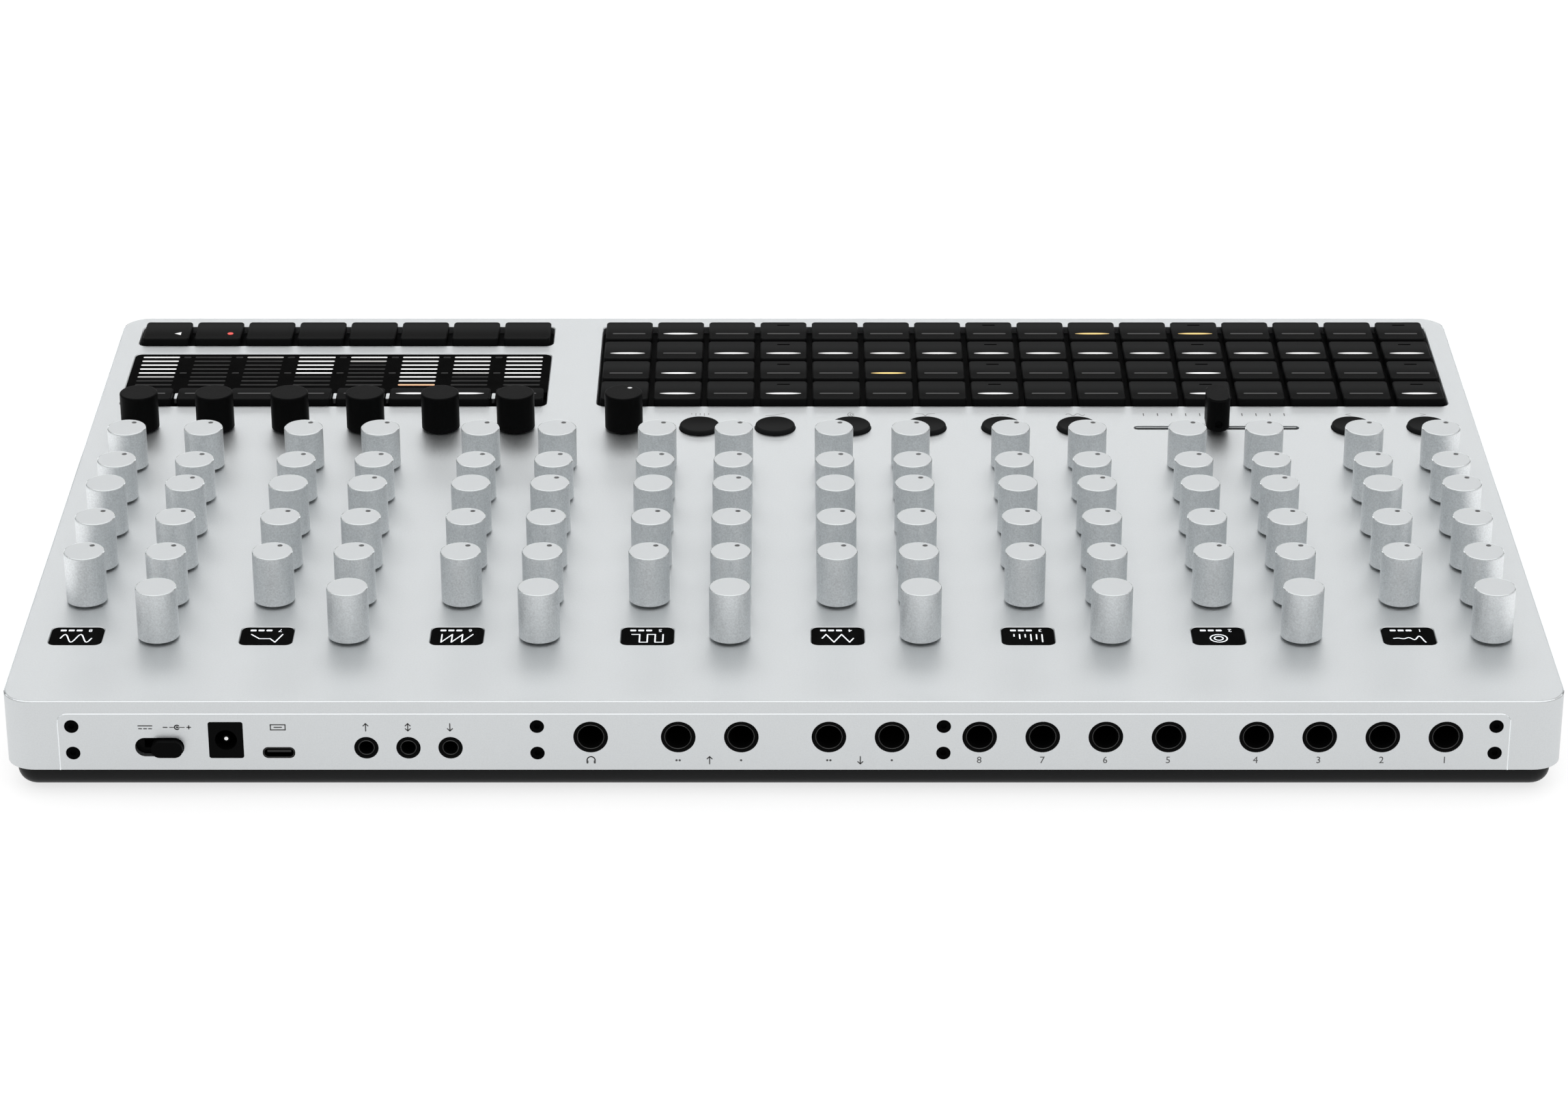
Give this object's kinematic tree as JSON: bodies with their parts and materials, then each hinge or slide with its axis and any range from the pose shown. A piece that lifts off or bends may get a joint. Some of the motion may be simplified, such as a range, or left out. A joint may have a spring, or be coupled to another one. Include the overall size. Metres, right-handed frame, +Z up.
{
  "type": "drum machine",
  "caption": "Flat table-top drum machine: aluminium case with channel knobs, small displays, a step key field, a level meter, a fader, and rear sockets.",
  "frame": {"origin": "middle of the case's plan, on the table under the rubber feet", "axes": "+X to the user's right, +Y to the rear face with the sockets, +Z up"},
  "size_m": [0.441, 0.283, 0.0461],
  "materials": {
    "case_aluminium": "bead-blasted, anodised",
    "base_black": "fine grain, matte",
    "foot_rubber": "matte",
    "black_steel": "black oxide",
    "board_green": "solder mask",
    "deck_black": "matte",
    "socket_black": "satin",
    "shell_steel": "plated",
    "display_black": "smooth glass-like",
    "pot_green": "satin",
    "housing_steel": "plated",
    "switch_black": "satin",
    "knob_silver": "satin anodised",
    "knob_black": "satin",
    "key_black": "satin"
  },
  "bodies": {
    "case": {"top_case": "case_aluminium", "rear_panel": "case_aluminium", "bottom_tray": "base_black", "rubber_feet": "foot_rubber", "rear_screws": "black_steel", "base_screws": "black_steel", "control_board": "board_green", "key_board": "board_green", "jack_board": "board_green", "main_board": "board_green", "key_deck": "deck_black", "line_jacks": "socket_black", "small_jacks": "socket_black", "dc_socket": "socket_black", "usb_socket": "shell_steel", "power_switch_body": "socket_black", "display_modules": "display_black", "meter_window": "display_black", "pot_bodies": "pot_green", "encoder_bodies": "housing_steel", "key_switches": "switch_black", "fader_body": "housing_steel", "channel_knobs": "knob_silver"},
    "ch1_level_knob": {"ch1_level_knob": "knob_silver"},
    "ch1_knob_1": {"ch1_knob_1": "knob_silver"},
    "ch1_knob_2": {"ch1_knob_2": "knob_silver"},
    "ch1_knob_3": {"ch1_knob_3": "knob_silver"},
    "ch1_knob_4": {"ch1_knob_4": "knob_silver"},
    "ch1_knob_5": {"ch1_knob_5": "knob_silver"},
    "ch1_knob_6": {"ch1_knob_6": "knob_silver"},
    "ch1_knob_7": {"ch1_knob_7": "knob_silver"},
    "ch1_knob_8": {"ch1_knob_8": "knob_silver"},
    "ch1_knob_9": {"ch1_knob_9": "knob_silver"},
    "ch1_knob_10": {"ch1_knob_10": "knob_silver"},
    "ch2_level_knob": {"ch2_level_knob": "knob_silver"},
    "ch3_level_knob": {"ch3_level_knob": "knob_silver"},
    "ch4_level_knob": {"ch4_level_knob": "knob_silver"},
    "ch5_level_knob": {"ch5_level_knob": "knob_silver"},
    "ch6_level_knob": {"ch6_level_knob": "knob_silver"},
    "ch7_level_knob": {"ch7_level_knob": "knob_silver"},
    "ch8_level_knob": {"ch8_level_knob": "knob_silver"},
    "menu_knob_1": {"menu_knob_1": "knob_black"},
    "menu_knob_2": {"menu_knob_2": "knob_black"},
    "menu_knob_3": {"menu_knob_3": "knob_black"},
    "menu_knob_4": {"menu_knob_4": "knob_black"},
    "menu_knob_5": {"menu_knob_5": "knob_black"},
    "menu_knob_6": {"menu_knob_6": "knob_black"},
    "main_volume_knob": {"main_volume_knob": "knob_black"},
    "fader_cap": {"fader_cap": "knob_black"},
    "power_switch_cap": {"power_switch_cap": "knob_black"},
    "effect_buttons": {"effect_buttons": "key_black"},
    "page_buttons": {"page_buttons": "key_black"},
    "play_key": {"play_key": "key_black"},
    "record_key": {"record_key": "key_black"},
    "function_keys": {"function_keys": "key_black"},
    "track_keys": {"track_keys": "key_black"},
    "step_keys_row_1": {"step_keys_row_1": "key_black"},
    "step_keys_row_2": {"step_keys_row_2": "key_black"},
    "step_keys_row_3": {"step_keys_row_3": "key_black"},
    "step_keys_row_4": {"step_keys_row_4": "key_black"}
  },
  "joints": [
    {"name": "ch1_level_knob_turn", "type": "hinge", "parent": "case", "child": "ch1_level_knob", "pos_m": [-0.20443, 0.0996, 0.03], "axis": [0, 0, -1], "continuous": true},
    {"name": "ch1_knob_1_turn", "type": "hinge", "parent": "case", "child": "ch1_knob_1", "pos_m": [-0.20443, 0.0756, 0.03], "axis": [0, 0, -1], "range_deg": [0, 300]},
    {"name": "ch1_knob_2_turn", "type": "hinge", "parent": "case", "child": "ch1_knob_2", "pos_m": [-0.18057, 0.0756, 0.03], "axis": [0, 0, -1], "range_deg": [0, 300]},
    {"name": "ch1_knob_3_turn", "type": "hinge", "parent": "case", "child": "ch1_knob_3", "pos_m": [-0.20443, 0.0516, 0.03], "axis": [0, 0, -1], "range_deg": [0, 300]},
    {"name": "ch1_knob_4_turn", "type": "hinge", "parent": "case", "child": "ch1_knob_4", "pos_m": [-0.18057, 0.0516, 0.03], "axis": [0, 0, -1], "range_deg": [0, 300]},
    {"name": "ch1_knob_5_turn", "type": "hinge", "parent": "case", "child": "ch1_knob_5", "pos_m": [-0.20443, 0.0276, 0.03], "axis": [0, 0, -1], "range_deg": [0, 300]},
    {"name": "ch1_knob_6_turn", "type": "hinge", "parent": "case", "child": "ch1_knob_6", "pos_m": [-0.18057, 0.0276, 0.03], "axis": [0, 0, -1], "continuous": true},
    {"name": "ch1_knob_7_turn", "type": "hinge", "parent": "case", "child": "ch1_knob_7", "pos_m": [-0.20443, 0.0036, 0.03], "axis": [0, 0, -1], "range_deg": [0, 300]},
    {"name": "ch1_knob_8_turn", "type": "hinge", "parent": "case", "child": "ch1_knob_8", "pos_m": [-0.18057, 0.0036, 0.03], "axis": [0, 0, -1], "range_deg": [0, 300]},
    {"name": "ch1_knob_9_turn", "type": "hinge", "parent": "case", "child": "ch1_knob_9", "pos_m": [-0.20443, -0.0204, 0.03], "axis": [0, 0, -1], "range_deg": [0, 300]},
    {"name": "ch1_knob_10_turn", "type": "hinge", "parent": "case", "child": "ch1_knob_10", "pos_m": [-0.18057, -0.0204, 0.03], "axis": [0, 0, -1], "range_deg": [0, 300]},
    {"name": "ch2_level_knob_turn", "type": "hinge", "parent": "case", "child": "ch2_level_knob", "pos_m": [-0.14943, 0.0996, 0.03], "axis": [0, 0, -1], "continuous": true},
    {"name": "ch3_level_knob_turn", "type": "hinge", "parent": "case", "child": "ch3_level_knob", "pos_m": [-0.09443, 0.0996, 0.03], "axis": [0, 0, -1], "continuous": true},
    {"name": "ch4_level_knob_turn", "type": "hinge", "parent": "case", "child": "ch4_level_knob", "pos_m": [-0.03943, 0.0996, 0.03], "axis": [0, 0, -1], "continuous": true},
    {"name": "ch5_level_knob_turn", "type": "hinge", "parent": "case", "child": "ch5_level_knob", "pos_m": [0.01557, 0.0996, 0.03], "axis": [0, 0, -1], "continuous": true},
    {"name": "ch6_level_knob_turn", "type": "hinge", "parent": "case", "child": "ch6_level_knob", "pos_m": [0.07057, 0.0996, 0.03], "axis": [0, 0, -1], "continuous": true},
    {"name": "ch7_level_knob_turn", "type": "hinge", "parent": "case", "child": "ch7_level_knob", "pos_m": [0.12557, 0.0996, 0.03], "axis": [0, 0, -1], "continuous": true},
    {"name": "ch8_level_knob_turn", "type": "hinge", "parent": "case", "child": "ch8_level_knob", "pos_m": [0.18057, 0.0996, 0.03], "axis": [0, 0, -1], "continuous": true},
    {"name": "menu_knob_1_turn", "type": "hinge", "parent": "case", "child": "menu_knob_1", "pos_m": [0.08513, -0.0495, 0.03], "axis": [0, 0, -1], "continuous": true},
    {"name": "menu_knob_2_turn", "type": "hinge", "parent": "case", "child": "menu_knob_2", "pos_m": [0.10899, -0.0495, 0.03], "axis": [0, 0, -1], "continuous": true},
    {"name": "menu_knob_3_turn", "type": "hinge", "parent": "case", "child": "menu_knob_3", "pos_m": [0.13285, -0.0495, 0.03], "axis": [0, 0, -1], "continuous": true},
    {"name": "menu_knob_4_turn", "type": "hinge", "parent": "case", "child": "menu_knob_4", "pos_m": [0.15671, -0.0495, 0.03], "axis": [0, 0, -1], "continuous": true},
    {"name": "menu_knob_5_turn", "type": "hinge", "parent": "case", "child": "menu_knob_5", "pos_m": [0.18057, -0.0495, 0.03], "axis": [0, 0, -1], "continuous": true},
    {"name": "menu_knob_6_turn", "type": "hinge", "parent": "case", "child": "menu_knob_6", "pos_m": [0.20443, -0.0495, 0.03], "axis": [0, 0, -1], "continuous": true},
    {"name": "main_volume_knob_turn", "type": "hinge", "parent": "case", "child": "main_volume_knob", "pos_m": [0.0508, -0.0495, 0.03], "axis": [0, 0, -1], "range_deg": [0, 300]},
    {"name": "fader_slide", "type": "slide", "parent": "case", "child": "fader_cap", "axis": [1, 0, 0], "range_m": [-0.0225, 0.0225]},
    {"name": "power_switch_slide", "type": "slide", "parent": "case", "child": "power_switch_cap", "axis": [1, 0, 0], "range_m": [0, 0.0044]},
    {"name": "effect_buttons_press", "type": "slide", "parent": "case", "child": "effect_buttons", "axis": [0, 0, -1], "range_m": [0, 0.0007], "stiffness_N_per_m": 700, "springref_m": -0.001},
    {"name": "page_buttons_press", "type": "slide", "parent": "case", "child": "page_buttons", "axis": [0, 0, -1], "range_m": [0, 0.0007], "stiffness_N_per_m": 600, "springref_m": -0.001},
    {"name": "play_key_press", "type": "slide", "parent": "case", "child": "play_key", "axis": [0, 0, -1], "range_m": [0, 0.001], "stiffness_N_per_m": 600, "springref_m": -0.001},
    {"name": "record_key_press", "type": "slide", "parent": "case", "child": "record_key", "axis": [0, 0, -1], "range_m": [0, 0.001], "stiffness_N_per_m": 600, "springref_m": -0.001},
    {"name": "function_keys_press", "type": "slide", "parent": "case", "child": "function_keys", "axis": [0, 0, -1], "range_m": [0, 0.001], "stiffness_N_per_m": 700, "springref_m": -0.001},
    {"name": "track_keys_press", "type": "slide", "parent": "case", "child": "track_keys", "axis": [0, 0, -1], "range_m": [0, 0.001], "stiffness_N_per_m": 700, "springref_m": -0.001},
    {"name": "step_keys_row_1_press", "type": "slide", "parent": "case", "child": "step_keys_row_1", "axis": [0, 0, -1], "range_m": [0, 0.001], "stiffness_N_per_m": 800, "springref_m": -0.001},
    {"name": "step_keys_row_2_press", "type": "slide", "parent": "case", "child": "step_keys_row_2", "axis": [0, 0, -1], "range_m": [0, 0.001], "stiffness_N_per_m": 800, "springref_m": -0.001},
    {"name": "step_keys_row_3_press", "type": "slide", "parent": "case", "child": "step_keys_row_3", "axis": [0, 0, -1], "range_m": [0, 0.001], "stiffness_N_per_m": 800, "springref_m": -0.001},
    {"name": "step_keys_row_4_press", "type": "slide", "parent": "case", "child": "step_keys_row_4", "axis": [0, 0, -1], "range_m": [0, 0.001], "stiffness_N_per_m": 800, "springref_m": -0.001}
  ]
}
